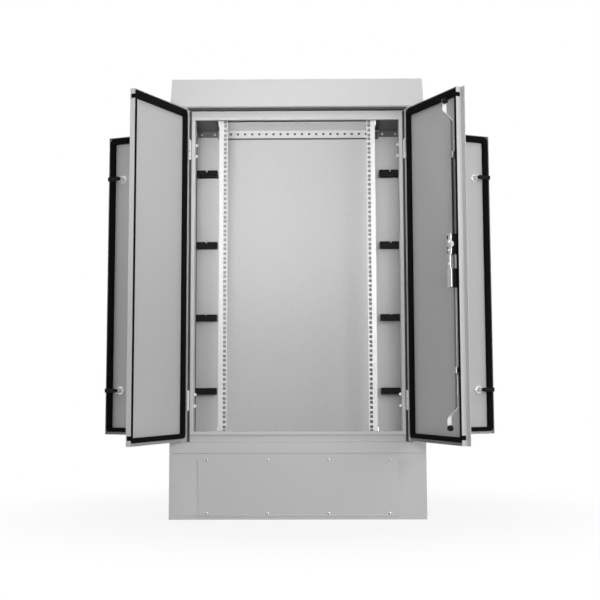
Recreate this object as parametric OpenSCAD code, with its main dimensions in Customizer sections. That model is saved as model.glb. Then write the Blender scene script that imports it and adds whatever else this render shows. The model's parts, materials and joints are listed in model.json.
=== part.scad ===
// Outdoor 19 inch equipment cabinet on a plinth, with double front doors and two side doors.
// Millimetres, +Z up, front towards -Y, origin on the ground under the middle of the plinth.

/* [Cabinet] */
// Width of the body
body_w = 800; // [760:10:1000]
// Depth of the body
body_d = 400; // [380:10:600]
// Height of the body between plinth and roof
body_h = 1100; // [1000:10:1500]
// Thickness of the body's sheet steel
sheet = 2; // [1.5:0.5:2.5]

/* [Plinth] */
// Height of the plinth
plinth_h = 200; // [170:5:300]
// Thickness of the plinth's sheet steel
plinth_t = 2.5; // [2:0.5:4]
// Width of the plinth's folded top and bottom flanges
plinth_flange = 45; // [40:1:60]
// Distance from the plinth's sides to the removable front cover
cover_side = 89; // [60:1:120]
// Distance from the plinth's upper and lower edges to the cover
cover_margin = 10.5; // [8:0.5:16]
// Thickness of the cover
cover_t = 2; // [1.5:0.5:3]
// Corner radius of the cover
cover_r = 6; // [2:1:15]
// How far the cover laps over the edge of its window
cover_lap = 16; // [12:1:25]
// Distance from the cover's side to its outermost screws
cover_screw_side = 27.5; // [15:0.5:60]
// Screws in each of the cover's two rows
cover_screw_count = 4; // [2:1:4]
// Distance from the cover's edge to a row of screws
cover_screw_edge = 8; // [6:0.5:10]
// Distance from the plinth's outer faces to the anchor holes
anchor_edge = 30; // [26:0.5:32]
// Diameter of the anchor holes
anchor_d = 14; // [10:1:18]
// Diameter of the bolts that hold the body on the plinth
body_bolt_d = 12; // [8:1:14]

/* [Roof] */
// Height of the roof cap
roof_h = 90; // [60:5:140]
// Overhang of the roof cap's lower edge
roof_overhang = 7; // [5:1:25]
// How much each side leans in from the lower edge to the top
roof_taper = 5; // [0:1:10]
// Width of the folded hem at the lower edge
roof_hem = 14; // [9:1:20]

/* [Door openings] */
// Width of a corner post's outer face
post_w = 40; // [36:1:60]
// Height of the rail below the door recess
ledge_h = 36; // [20:1:60]
// Height of the rail above the door recess
head_h = 7; // [4:1:30]
// Depth of the door recess
recess = 22; // [22:0.5:26]
// Width of the sealing rim
rim_w = 11; // [8:0.5:14]
// How far the sealing rim stands forward in the recess
rim_h = 6; // [5:0.5:6]
// Depth of the rim's folded return
return_d = 15; // [12:0.5:16]
// Depth of the deep returns left and right of the front opening
jamb_d = 54; // [35:1:55]
// Distance from the recess's side to the rim
rim_gap_side = 21; // [21:0.5:26]
// Distance from the recess's floor to the rim
rim_gap_low = 22; // [16:0.5:26]
// Distance from the recess's head to the rim
rim_gap_high = 21; // [16:0.5:26]

/* [Doors] */
// Thickness of a door from its outer face to its flange's edge
door_t = 16; // [15:0.5:16]
// Thickness of the doors' sheet steel
door_skin = 1.5; // [1:0.25:2]
// Gap between a door and its recess, above, below and at a side door's free edge
door_gap = 4; // [3:0.5:6]
// Gap between the two front leaves
leaf_gap = 3; // [2:0.5:5]
// Width of the foam gaskets
gasket_w = 14; // [12:1:16]
// Width of the foam gasket along a front leaf's free edge
gasket_free_w = 13; // [8:1:15]
// Width of the foam gasket along a side door's free edge
gasket_side_w = 18; // [12:1:20]
// Thickness of the foam gaskets
gasket_h = 13.5; // [8:0.5:13.5]
// Distance from a door's free flange to its gasket
gasket_inset = 2; // [1:0.5:3]
// Distance from a door's hinge flange to its gasket
gasket_hinge_inset = 6.5; // [5:0.5:8]
// Distance from a door's upper and lower flanges to its gasket
gasket_end_inset = 8; // [6:0.5:10]
// Outer corner radius of the gaskets
gasket_r = 12; // [6:1:16]
// How far the right leaf's strip laps over the left leaf
overlap_w = 20; // [12:1:30]
// Opening angle of the front doors as built
front_open = 112; // [95:1:115]
// Opening angle of the side doors as built
side_open = 117; // [95:1:118]

/* [Hinges] */
// Diameter of a hinge pin
pin_d = 5; // [4:0.5:5]
// Diameter of a hinge knuckle
knuckle_d = 9; // [8:0.5:9]
// Height of a hinge
hinge_h = 62; // [48:1:90]
// Distance from the end of a door to the middle of its hinge
hinge_end = 125; // [90:1:200]
// Thickness of the hinge leaves
hinge_t = 3; // [2:0.5:3]
// Radial clearance of a turning part on its pin
running_fit = 0.05; // [0.02:0.01:0.1]

/* [Rack rails] */
// Distance between the two columns of rail holes
rail_spacing = 465.1; // [400:0.1:520]
// Distance from a rail's inner edge to the middle of its holes
rail_hole_edge = 7.55; // [7:0.05:12]
// Height of one rack unit
unit_h = 44.45; // [40:0.05:50]
// Side of the square rail holes
rail_hole = 9.5; // [7:0.5:11]
// Width of a rail's front flange
rail_face = 27; // [24:1:40]
// Depth of a rail's web
rail_web = 40; // [25:1:60]
// Distance from the cabinet's front to the rails
rail_setback = 45; // [42:1:120]
// Thickness of the rails
rail_t = 2; // [1.5:0.5:3]

/* [Rear bar] */
// Distance between the holes of the rear bar
bar_spacing = 25; // [20:1:40]
// Side of the square holes of the rear bar
bar_hole = 8; // [5:0.5:10]
// Height of the rear bar
bar_h = 28; // [22:1:40]
// Distance from the cabinet's side to the end of the rear bar
bar_side = 122; // [120:1:160]
// Distance from the rear wall to the front of the rear bar
bar_d = 10; // [8:1:20]
// Depth of the rear bar's leg under the ceiling
bar_leg = 160; // [30:1:260]

/* [Cable rings] */
// Width of a cable ring
ring_w = 74; // [50:1:90]
// Height of a cable ring
ring_h = 22; // [14:1:30]
// Depth of a cable ring
ring_d = 48; // [40:1:100]
// Wall of a cable ring
ring_t = 6; // [4:0.5:8]
// Distance from the cabinet's side to the middle of a ring
ring_side = 82; // [76:1:84]
// Height of the lowest ring above the plinth
ring_low = 189.5; // [150:0.5:220]
// Distance between the rings
ring_spacing = 250; // [150:1:250]
// Rings on each side
ring_count = 4; // [1:1:4]
// Width of a ring's slit at the top
ring_slit = 5; // [3:0.5:8]

/* [Rod lock] */
// Height of the lock's spindle above the door's lower edge
lock_up = 583; // [480:1:650]
// Distance from the right leaf's free edge to the lock's middle line
lock_inset = 31; // [29:0.5:40]
// Width of the flat rods
rod_w = 14; // [10:1:16]
// Thickness of the flat rods
rod_t = 4; // [3:0.5:5]
// Travel of each rod
rod_travel = 24; // [18:1:24]
// Diameter of the rod rollers
roller_d = 17; // [12:0.5:18]
// Width of the rod rollers
roller_w = 9; // [6:0.5:12]
// Diameter of a roller's axle
axle_d = 6; // [4:0.5:8]
// Width of the gearbox
gearbox_w = 26; // [24:0.5:30]
// Height of the gearbox
gearbox_h = 60; // [58:1:80]
// Length of the swing handle
handle_l = 150; // [110:1:180]
// Width of the swing handle
handle_w = 24; // [18:1:26]

/* [Side door locks] */
// Distance from a side door's free edge to a lock
cam_inset = 55; // [48:1:70]
// Distance from a side door's end to a lock
cam_end = 152; // [100:1:240]
// Length of a lock's lever from its spindle to its tip
cam_l = 44; // [40:1:47]
// Width of a lever
cam_w = 14; // [10:1:16]
// Diameter of a lock's spindle
cam_spindle_d = 10; // [8:0.5:12]

/* [Hidden] */
$fn = 48;
tiny = 0.1;
hw = body_w / 2;
hd = body_d / 2;
z0 = plinth_h;
z1 = plinth_h + body_h;
floor_z = z0 + sheet;
ceiling_z = z1 - sheet;
rear_y = hd - sheet;

// Plinth
cover_w = body_w - 2 * cover_side;
cover_h = plinth_h - 2 * cover_margin;
cover_mid_z = plinth_h / 2;
cover_screw_spacing = (cover_w - 2 * cover_screw_side) / (cover_screw_count - 1);
anchor_x = body_w - 2 * anchor_edge;
anchor_y = body_d - 2 * anchor_edge;
bolt_head_d = 1.6 * body_bolt_d;
bolt_head_h = 0.6 * body_bolt_d;

// Cable entry in the floor
cable_side = 200;
cable_back = 110;
cable_hw = hw - cable_side;
cable_hd = hd - cable_back;
entry_lap = 20;
entry_hole_d = 40;
entry_hole_spacing = 90;

// Roof screws
roof_screw_side = 36;
roof_screw_back = 100;
roof_screw_x = body_w - 2 * roof_screw_side;
roof_screw_y = body_d - 2 * roof_screw_back;
roof_screw_d = 8;
roof_screw_l = 24;
roof_head_d = 14;
roof_head_h = 5;
roof_boss_d = 16;
roof_boss_end = 4;

// Door recess and sealing rim, measured from the outer plane inwards
rec_hw = hw - post_w;
rec_hd = hd - post_w;
rec_z0 = z0 + ledge_h;
rec_z1 = z1 - head_h;
rim_top = recess - rim_h;
return_end = rim_top + return_d;
opening_hw = rec_hw - rim_gap_side - rim_w;
opening_hd = rec_hd - rim_gap_side - rim_w;
opening_z0 = rec_z0 + rim_gap_low + rim_w;
opening_z1 = rec_z1 - rim_gap_high - rim_w;

// Doors: the hinge axis is the local origin, the leaf runs along +X and its outside faces -Y
pin_set = 3;
pin_edge = 5.5;
edge_gap = 5;
skin_y0 = -pin_set;
skin_y1 = skin_y0 + door_skin;
flange_y = skin_y0 + door_t;
seat_y = recess - pin_set;
front_leaf_end = rec_hw - pin_edge - leaf_gap / 2;
side_leaf_end = 2 * rec_hd - pin_edge - door_gap;
door_z0 = rec_z0 + door_gap;
door_z1 = rec_z1 - door_gap;
hinge_zs = [door_z0 + hinge_end, door_z1 - hinge_end];
knuckle_h = hinge_h / 3;
knuckle_gap = 0.4;
leaf_rim_gap = 2;
clip_cap = 1.5;
clip_lap = 9;
hinge_slot_w = 4;
hinge_slot_h = 24;
hinge_slot_x = 5;
pin_head_h = 2;

// Seal blocks fill the notches in a front leaf's free flange where the rim crosses it
notch_air = 1;
notch_depth = 13;
notch_y = flange_y - notch_depth;
seal_top_y = rim_top - pin_set - notch_air;
notch_zs = [opening_z0 - rim_w, opening_z1];

// Rails
rail_y = -hd + rail_setback;
rail_in = rail_spacing / 2 - rail_hole_edge;
rail_out = rail_in + rail_face;
rail_end_gap = 0.5;
rail_units = floor((body_h - 2 * sheet - rail_end_gap) / unit_h);
rail_z1 = ceiling_z - rail_end_gap;
rail_z0 = rail_z1 - rail_units * unit_h;
unit_holes = [unit_h / 7, unit_h / 2, unit_h * 6 / 7];
foot_l = 30;
foot_h = 50;
foot_t = 3;

// Rear bar, corner angles and cable rings
bar_w = body_w - 2 * bar_side;
bar_hole_z = ceiling_z - bar_h / 2;
bar_end = 14;
bar_count = floor((bar_w - 2 * bar_end) / bar_spacing) + 1;
angle_gap = 4;
angle_side = 44;
angle_x0 = bar_w / 2 + angle_gap;
angle_x1 = hw - angle_side;
angle_h = 24;
angle_d = 190;
angle_screw_in = 12;
angle_screw_out = 16;
angle_screw_drop = 14;
angle_screw_z = ceiling_z - angle_screw_drop;
ring_x = hw - ring_side;

// Rod lock, in the right leaf's own frame
lock_z = door_z0 + lock_up;
lock_u = front_leaf_end - lock_inset;
rod_y = flange_y - 2;
rod_air = 0.5;
roller_pass = 0.8;
roller_low_gap = 13;
roller_high_gap = 4.5;
end_y = return_end - pin_set + roller_d / 2 + roller_pass;
roller_zs = [opening_z0 + roller_low_gap + roller_d / 2, opening_z1 - roller_high_gap - roller_d / 2];
roller_air = 0.4;
axle_head_d = axle_d + 3;
axle_head_h = 1.5;
rod_gap = 3;
twist_l = 36;
end_l = 26;
rod_tip = 6;
gearbox_cover = 14;
gearbox_y = rod_y + rod_t / 2 + gearbox_cover;
gearbox_plate_t = 2;
gearbox_top = gearbox_y + gearbox_plate_t;
gearbox_boss_d = 14;
gearbox_boss_h = 4;
gearbox_boss_z = 7;
gearbox_screw_z = -18;
tongue_w = 14;
tongue_screw_z = -58;
drive_d = 22;
drive_y0 = skin_y1 + 1;
drive_y1 = rod_y - rod_t / 2 - 1.5;
spindle_d = 10;
spindle_air = 0.5;
plate_t = 3;
plate_y = skin_y0 - plate_t;
escutcheon_w = 34;
escutcheon_r = 6;
escutcheon_end = 8;
handle_t = 16;
handle_r = 6;
handle_air = 1;
handle_y = plate_y - handle_air;
handle_root = handle_w / 2 + 2;
head_d = handle_w - 2;
head_floor = 3;
lift_d = 5;
lift_y = handle_y - handle_t / 2;
lift_l = head_d - 4;
lug_w = 10;
lug_d = 9;
bracket_h = 55;
bracket_drop = 99;
guide_drop = 90;
guide_rise = 47;
guide_zs = [(opening_z0 + lock_z) / 2 - guide_drop, (opening_z1 + lock_z) / 2 + guide_rise];
guide_h = 18;
guide_wall = 4;
twist_steps = 10;
upper_tip = roller_zs[1] - lock_z + rod_tip;
lower_tip = lock_z - roller_zs[0] + rod_tip;

// Strip on the right leaf that laps over the left one
strip_t = 2.4;
strip_air = 0.5;
strip_seat = 11;

// Side door locks
cam_u = side_leaf_end - cam_inset;
cam_zs = [door_z0 + cam_end, door_z1 - cam_end];
cam_y = return_end - pin_set + 2;
cam_t = 4;
cam_notch = cam_w + 10;
cam_notch_end = 3;
cam_nut_af = 13;
housing_d = 18;
housing_flange_d = 26;
housing_flange_t = 3;
housing_gap = 2;
housing_end = cam_y - housing_gap;
lock_nut_h = 5;
lock_nut_af = 27;

// Fasteners
cover_screw_d = 5;
screw_head_d = 10;
screw_head_h = 2.5;
small_head_d = 8;
small_head_h = 3;
nut_af = 10;
nut_h = 5.5;
nut_stud_d = 6;
nut_stud_h = 2.5;
nut_spread = 36;
nut_depth = 24;
nut_y = -hd + rim_top + nut_depth;
cover_screw_l = 4;

// Box given by its lowest and highest corners
module block(a, b) {
    translate(a) cube(b - a);
}

// Rectangle with round corners, drawn from its lowest to its highest corner
module round_rect(a, b, r) {
    translate([a[0] + r, a[1]]) square([b[0] - a[0] - 2 * r, b[1] - a[1]]);
    translate([a[0], a[1] + r]) square([b[0] - a[0], b[1] - a[1] - 2 * r]);
    for (x = [a[0] + r, b[0] - r], y = [a[1] + r, b[1] - r]) translate([x, y]) circle(r);
}

// Plate in the XZ plane from a flat outline
module upright(y0, y1) {
    translate([0, y1, 0]) rotate([90, 0, 0]) linear_extrude(y1 - y0) children();
}

// Round bar along Y
module bar_y(d, y0, y1) {
    translate([0, y1, 0]) rotate([90, 0, 0]) cylinder(d = d, h = y1 - y0);
}

// Six-sided nut along Y, given across its flats
module hex_y(af, y0, y1) {
    translate([0, y1, 0]) rotate([90, 0, 0]) cylinder(d = af / cos(30), h = y1 - y0, $fn = 6);
}

// Places of the four doors: local hinge axis to cabinet frame
module at_front_left(angle) {
    translate([pin_edge - rec_hw, pin_set - hd, 0]) rotate(-angle) children();
}
module at_front_right(angle) {
    mirror([1, 0, 0]) at_front_left(angle) children();
}
module at_side_left(angle) {
    translate([pin_set - hw, rec_hd - pin_edge, 0]) rotate(-90 - angle) children();
}
module at_side_right(angle) {
    mirror([1, 0, 0]) at_side_left(angle) children();
}

// Plinth
module plinth_frame() color("gainsboro") difference() {
    block([-hw, -hd, 0], [hw, hd, plinth_h]);
    block([plinth_t - hw, plinth_t - hd, plinth_t], [hw - plinth_t, hd - plinth_t, plinth_h - plinth_t]);
    block([plinth_flange - hw, plinth_flange - hd, -tiny],
          [hw - plinth_flange, hd - plinth_flange, plinth_h + tiny]);
    window = [cover_w / 2 - cover_lap, cover_h / 2 - cover_lap];
    block([-window[0], -hd - tiny, cover_mid_z - window[1]],
          [window[0], plinth_t - hd + tiny, cover_mid_z + window[1]]);
    cover_screw_places() bar_y(cover_screw_d, -hd - tiny, plinth_t - hd + tiny);
    corner_places(anchor_x, anchor_y)
        translate([0, 0, -tiny]) cylinder(d = anchor_d, h = plinth_t + 2 * tiny);
    corner_places(anchor_x, anchor_y)
        translate([0, 0, plinth_h - plinth_t - tiny]) cylinder(d = body_bolt_d, h = plinth_t + 2 * tiny);
}
module corner_places(dx, dy) {
    for (x = [-dx / 2, dx / 2], y = [-dy / 2, dy / 2]) translate([x, y, 0]) children();
}
module cover_screw_places() {
    rows = [cover_mid_z - cover_h / 2 + cover_screw_edge, cover_mid_z + cover_h / 2 - cover_screw_edge];
    for (i = [0 : cover_screw_count - 1], z = rows)
        translate([(i - (cover_screw_count - 1) / 2) * cover_screw_spacing, 0, z]) children();
}
module plinth_cover() color("gainsboro") difference() {
    upright(-hd - cover_t, -hd)
        round_rect([-cover_w / 2, cover_mid_z - cover_h / 2],
                   [cover_w / 2, cover_mid_z + cover_h / 2], cover_r);
    cover_screw_places() bar_y(cover_screw_d, -hd - cover_t - tiny, -hd + tiny);
}
module plinth_cover_screws() color("silver") cover_screw_places() {
    bar_y(screw_head_d, -hd - cover_t - screw_head_h, -hd - cover_t);
    bar_y(cover_screw_d - 2 * running_fit, -hd - cover_t, plinth_t - hd + cover_screw_l);
}
module body_bolts() color("silver") corner_places(anchor_x, anchor_y) {
    translate([0, 0, floor_z]) cylinder(d = bolt_head_d, h = bolt_head_h, $fn = 6);
    translate([0, 0, z0 - plinth_t - body_bolt_d])
        cylinder(d = body_bolt_d - 2 * running_fit, h = body_bolt_d + plinth_t + sheet);
}

// Welded body
module base_plate() color("lightgray") difference() {
    block([sheet - hw, sheet - hd, z0], [hw - sheet, hd - sheet, floor_z]);
    block([-cable_hw, -cable_hd, z0 - tiny], [cable_hw, cable_hd, floor_z + tiny]);
    corner_places(anchor_x, anchor_y)
        translate([0, 0, z0 - tiny]) cylinder(d = body_bolt_d, h = sheet + 2 * tiny);
}
module cable_entry_plate() color("darkgray") difference() {
    block([-cable_hw - entry_lap, -cable_hd - entry_lap, floor_z],
          [cable_hw + entry_lap, cable_hd + entry_lap, floor_z + sheet]);
    for (i = [-1 : 1]) translate([i * entry_hole_spacing, 0, floor_z - tiny])
        cylinder(d = entry_hole_d, h = sheet + 2 * tiny);
}

// Ring between two rectangles in the XZ plane: half width, lowest and highest level of each
module frame_ring(y0, y1, outer, inner) difference() {
    block([-outer[0], y0, outer[1]], [outer[0], y1, outer[2]]);
    block([-inner[0], y0 - tiny, inner[1]], [inner[0], y1 + tiny, inner[2]]);
}
// Rectangle of a door opening, drawn in by the given amounts
function inset(half, side, low, high) = [half - side, rec_z0 + low, rec_z1 - high];

// Frame around a door: outer face, walls of the recess and its floor
module door_frame(face_half, rec_half) {
    rec = inset(rec_half, 0, 0, 0);
    rec_wall = inset(rec_half, -sheet, -sheet, -sheet);
    rim = inset(rec_half, rim_gap_side, rim_gap_low, rim_gap_high);
    frame_ring(0, sheet, [face_half, z0, z1], rec);
    frame_ring(0, recess + sheet, rec_wall, rec);
    frame_ring(recess, recess + sheet, rec_wall, rim);
}
// Folded channel around an opening that a door's gasket presses on
module sealing_rim(rec_half) {
    rim = inset(rec_half, rim_gap_side, rim_gap_low, rim_gap_high);
    rim_wall = inset(rec_half, rim_gap_side + sheet, rim_gap_low + sheet, rim_gap_high + sheet);
    mouth = inset(rec_half, rim_gap_side + rim_w, rim_gap_low + rim_w, rim_gap_high + rim_w);
    mouth_wall = [mouth[0] + sheet, mouth[1] - sheet, mouth[2] + sheet];
    frame_ring(rim_top, recess + sheet, rim, rim_wall);
    frame_ring(rim_top, rim_top + sheet, rim, mouth);
    frame_ring(rim_top, return_end, mouth_wall, mouth);
}
module front_frame() color("gainsboro") translate([0, -hd, 0]) {
    door_frame(hw, rec_hw);
    sealing_rim(rec_hw);
    for (side = [0, 1]) mirror([side, 0, 0])
        block([opening_hw, return_end - tiny, opening_z0 - sheet],
              [opening_hw + sheet, rim_top + jamb_d, opening_z1 + sheet]);
}
// A side frame and its rim, on the left side, are notched where the two lock levers pass
module at_left_frame() difference() {
    translate([-hw, 0, 0]) rotate(-90) children();
    lever_tip_y = rec_hd - pin_edge - cam_u - cam_l;
    for (z = cam_zs)
        block([rim_top - hw - tiny, lever_tip_y - cam_notch_end, z - cam_notch / 2],
              [return_end - hw + tiny, -opening_hd + 2 * sheet, z + cam_notch / 2]);
}
module left_side_frame() color("gainsboro") at_left_frame() door_frame(hd - sheet, rec_hd);
module left_side_rim() color("gainsboro") at_left_frame() sealing_rim(rec_hd);
module right_side_frame() color("gainsboro") mirror([1, 0, 0]) left_side_frame();
module right_side_rim() color("gainsboro") mirror([1, 0, 0]) left_side_rim();
module rear_wall() color("gainsboro") block([-hw, rear_y, z0], [hw, hd, z1]);
module top_plate() color("lightgray") difference() {
    block([sheet - hw, sheet - hd, ceiling_z], [hw - sheet, rear_y, z1]);
    corner_places(roof_screw_x, roof_screw_y)
        translate([0, 0, ceiling_z - tiny]) cylinder(d = roof_screw_d, h = sheet + 2 * tiny);
}

// Roof cap: a shallow pan turned over, its sides leaning in towards the top
module lean_block(half_x, half_y, low, high, lean) intersection() {
    upright(-half_y, half_y)
        polygon([[-half_x, low], [half_x, low], [half_x - lean, high], [lean - half_x, high]]);
    rotate(90) upright(-half_x, half_x)
        polygon([[-half_y, low], [half_y, low], [half_y - lean, high], [lean - half_y, high]]);
}
module roof_cap() color("gainsboro") {
    edge_x = hw + roof_overhang;
    edge_y = hd + roof_overhang;
    difference() {
        lean_block(edge_x, edge_y, z1, z1 + roof_h, roof_taper);
        lean_block(edge_x - sheet, edge_y - sheet, z1 - tiny, z1 + roof_h - sheet, roof_taper);
    }
    difference() {
        block([sheet / 2 - edge_x, sheet / 2 - edge_y, z1],
              [edge_x - sheet / 2, edge_y - sheet / 2, z1 + sheet]);
        block([roof_hem - edge_x, roof_hem - edge_y, z1 - tiny],
              [edge_x - roof_hem, edge_y - roof_hem, z1 + sheet + tiny]);
    }
    difference() {
        corner_places(roof_screw_x, roof_screw_y)
            translate([0, 0, z1]) cylinder(d = roof_boss_d, h = roof_h - sheet / 2);
        corner_places(roof_screw_x, roof_screw_y)
            translate([0, 0, z1 - tiny]) cylinder(d = roof_screw_d, h = roof_h - sheet - roof_boss_end);
    }
}
module roof_screws() color("silver") corner_places(roof_screw_x, roof_screw_y) {
    translate([0, 0, ceiling_z - roof_head_h]) cylinder(d = roof_head_d, h = roof_head_h, $fn = 6);
    translate([0, 0, ceiling_z]) cylinder(d = roof_screw_d - 2 * running_fit, h = roof_screw_l);
}

// Rack rails, drawn for the right side
module rack_rail() difference() {
    union() {
        block([rail_in, rail_y, rail_z0], [rail_out, rail_y + rail_t, rail_z1]);
        block([rail_out - rail_t, rail_y, rail_z0], [rail_out, rail_y + rail_web, rail_z1]);
    }
    for (u = [0 : rail_units - 1], step = unit_holes)
        translate([rail_spacing / 2, rail_y + rail_t / 2, rail_z0 + u * unit_h + step])
            cube([rail_hole, rail_t + 2 * tiny, rail_hole], center = true);
}
module left_rail() color("whitesmoke") mirror([1, 0, 0]) rack_rail();
module right_rail() color("whitesmoke") rack_rail();
module rail_feet() color("silver") for (side = [0, 1]) mirror([side, 0, 0]) {
    rail_foot(floor_z, max(rail_z0 + foot_h - floor_z, foot_h), 0);
    rail_foot(ceiling_z, foot_h, 1);
}
module rail_foot(level, height, turned) {
    translate([rail_out, rail_y + rail_t, level]) mirror([0, 0, turned]) {
        block([0, 0, 0], [foot_t, rail_web - rail_t, height]);
        block([foot_t, 0, 0], [foot_l, rail_web - rail_t, foot_t]);
    }
}

// Perforated bar with a leg under the ceiling, and dark angles beside it
module rear_bar() color("gainsboro") difference() {
    union() {
        block([-bar_w / 2, rear_y - bar_d, ceiling_z - bar_h],
              [bar_w / 2, rear_y - bar_d + sheet, ceiling_z]);
        block([-bar_w / 2, rear_y - bar_leg, ceiling_z - sheet], [bar_w / 2, rear_y, ceiling_z]);
    }
    for (i = [0 : bar_count - 1])
        translate([(i - (bar_count - 1) / 2) * bar_spacing, rear_y - bar_d + sheet / 2, bar_hole_z])
            cube([bar_hole, sheet + 2 * tiny, bar_hole], center = true);
}
module corner_angles() color("dimgray") for (side = [0, 1]) mirror([side, 0, 0]) {
    block([angle_x0, rear_y - sheet, ceiling_z - angle_h], [angle_x1, rear_y, ceiling_z]);
    block([angle_x0, rear_y - angle_d, ceiling_z - sheet], [angle_x1, rear_y - sheet, ceiling_z]);
}
module corner_angle_screws() color("silver") for (side = [0, 1]) mirror([side, 0, 0])
    for (x = [angle_x0 + angle_screw_in, angle_x1 - angle_screw_out]) translate([x, 0, angle_screw_z])
        bar_y(small_head_d, rear_y - sheet - small_head_h, rear_y - sheet);

// Cable rings on the rear wall, drawn for the right side
module cable_rings() for (i = [0 : ring_count - 1])
    translate([ring_x, rear_y, z0 + ring_low + i * ring_spacing]) difference() {
        block([-ring_w / 2, -ring_d, -ring_h / 2], [ring_w / 2, 0, ring_h / 2]);
        block([ring_t - ring_w / 2, ring_t - ring_d, -ring_h], [ring_w / 2 - ring_t, -ring_t, ring_h]);
        upright(-ring_d - tiny, ring_t - ring_d + tiny)
            polygon([[-ring_slit / 2, ring_h], [-ring_slit / 2, ring_h / 2 - ring_slit],
                     [0, ring_h / 2 - 1.5 * ring_slit], [ring_slit / 2, ring_h / 2 - ring_slit],
                     [ring_slit / 2, ring_h]]);
    }
module left_cable_rings() color("black") mirror([1, 0, 0]) cable_rings();
module right_cable_rings() color("black") cable_rings();

// Hinges: the frame's leaf holds the two outer knuckles, the door's leaf the middle one and clips
// round the door's flange
module knuckle(bore, z, h) translate([0, 0, z]) difference() {
    cylinder(d = knuckle_d, h = h);
    translate([0, 0, -tiny]) cylinder(d = bore, h = h + 2 * tiny);
}
module hinge_frame_leaf() for (z = hinge_zs) translate([0, 0, z - hinge_h / 2]) {
    foot_end = rim_gap_side - pin_edge - leaf_rim_gap;
    bore = pin_d + 2 * running_fit;
    for (low = [0, hinge_h - knuckle_h]) {
        knuckle(bore, low, knuckle_h);
        difference() {
            block([-knuckle_d / 2, 0, low], [hinge_t - knuckle_d / 2, seat_y, low + knuckle_h]);
            translate([0, 0, low - tiny]) cylinder(d = knuckle_d - tiny, h = knuckle_h + 2 * tiny);
        }
    }
    block([-knuckle_d / 2, knuckle_d / 2 + knuckle_gap, 0], [hinge_t - knuckle_d / 2, seat_y, hinge_h]);
    difference() {
        block([-knuckle_d / 2, seat_y - hinge_t, 0], [foot_end, seat_y, hinge_h]);
        block([hinge_slot_x, seat_y - hinge_t - tiny, (hinge_h - hinge_slot_h) / 2],
              [hinge_slot_x + hinge_slot_w, seat_y + tiny, (hinge_h + hinge_slot_h) / 2]);
    }
}
module hinge_door_leaf() for (z = hinge_zs) translate([0, 0, z - hinge_h / 2]) {
    low = knuckle_h + knuckle_gap;
    high = hinge_h - knuckle_h - knuckle_gap;
    plate_x = edge_gap - hinge_t;
    knuckle(pin_d + 2 * running_fit, low, high - low);
    difference() {
        block([plate_x, 0, low], [edge_gap, knuckle_d / 2 + 2 * knuckle_gap, high]);
        translate([0, 0, low - tiny]) cylinder(d = knuckle_d - tiny, h = high - low + 2 * tiny);
    }
    clip_x = edge_gap + door_skin;
    block([plate_x, knuckle_d / 2 + knuckle_gap, 0], [edge_gap, flange_y + clip_cap, hinge_h]);
    block([edge_gap - tiny, flange_y, 0], [clip_x + hinge_t, flange_y + clip_cap, hinge_h]);
    block([clip_x, flange_y - clip_lap, 0], [clip_x + hinge_t, flange_y + tiny, hinge_h]);
}
module hinge_pin() for (z = hinge_zs) translate([0, 0, z - hinge_h / 2]) {
    cylinder(d = pin_d, h = hinge_h);
    translate([0, 0, hinge_h]) cylinder(d = knuckle_d - 1, h = pin_head_h);
}
module hinge_frame_leaves() color("silver") {
    at_front_left(0) hinge_frame_leaf();
    at_front_right(0) hinge_frame_leaf();
    at_side_left(0) hinge_frame_leaf();
    at_side_right(0) hinge_frame_leaf();
}
module hinge_pins() color("silver") {
    at_front_left(0) hinge_pin();
    at_front_right(0) hinge_pin();
    at_side_left(0) hinge_pin();
    at_side_right(0) hinge_pin();
}
module hinge_nuts() color("silver") for (side = [0, 1]) mirror([side, 0, 0])
    for (z = hinge_zs, step = [-nut_spread / 2, nut_spread / 2])
        translate([-opening_hw, nut_y, z + step]) rotate(90) {
            hex_y(nut_af, -nut_h, 0);
            bar_y(nut_stud_d, -nut_h - nut_stud_h, -nut_h);
        }

// Folded door pan
module door_pan(leaf_end) difference() {
    block([edge_gap, skin_y0, door_z0], [leaf_end, flange_y, door_z1]);
    block([edge_gap + door_skin, skin_y1, door_z0 + door_skin],
          [leaf_end - door_skin, flange_y + tiny, door_z1 - door_skin]);
}
// Foam strip glued round the inside of a door pan
module door_gasket(leaf_end, free_w) {
    a = [edge_gap + door_skin + gasket_hinge_inset, door_z0 + door_skin + gasket_end_inset];
    b = [leaf_end - door_skin - gasket_inset, door_z1 - door_skin - gasket_end_inset];
    upright(skin_y1, skin_y1 + gasket_h) difference() {
        round_rect(a, b, gasket_r);
        round_rect([a[0] + gasket_w, a[1] + gasket_w], [b[0] - free_w, b[1] - gasket_w], gasket_r / 3);
    }
}
// Front leaf: its free flange is notched where the frame's rim crosses it
module front_leaf() difference() {
    door_pan(front_leaf_end);
    for (z = notch_zs)
        block([front_leaf_end - door_skin - tiny, notch_y, z - notch_air],
              [front_leaf_end + tiny, flange_y + tiny, z + rim_w + notch_air]);
}
module seal_blocks() for (z = notch_zs)
    block([front_leaf_end - door_skin - gasket_inset, notch_y, z - notch_air],
          [front_leaf_end, seal_top_y, z + rim_w + notch_air]);
module left_door() color("gainsboro") at_front_left(front_open) front_leaf();
module left_door_gasket() color("black")
    at_front_left(front_open) door_gasket(front_leaf_end, gasket_free_w);
module left_door_seal_blocks() color("black") at_front_left(front_open) seal_blocks();
module left_door_hinge_leaves() color("silver") at_front_left(front_open) hinge_door_leaf();
module right_door_gasket() color("black")
    at_front_right(front_open) door_gasket(front_leaf_end, gasket_free_w);
module right_door_seal_blocks() color("black") at_front_right(front_open) seal_blocks();
module right_door_hinge_leaves() color("silver") at_front_right(front_open) hinge_door_leaf();
module right_door() color("gainsboro") at_front_right(front_open) difference() {
    front_leaf();
    translate([lock_u, 0, lock_z])
        bar_y(spindle_d + 2 * spindle_air, skin_y0 - tiny, skin_y1 + tiny);
}

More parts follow.
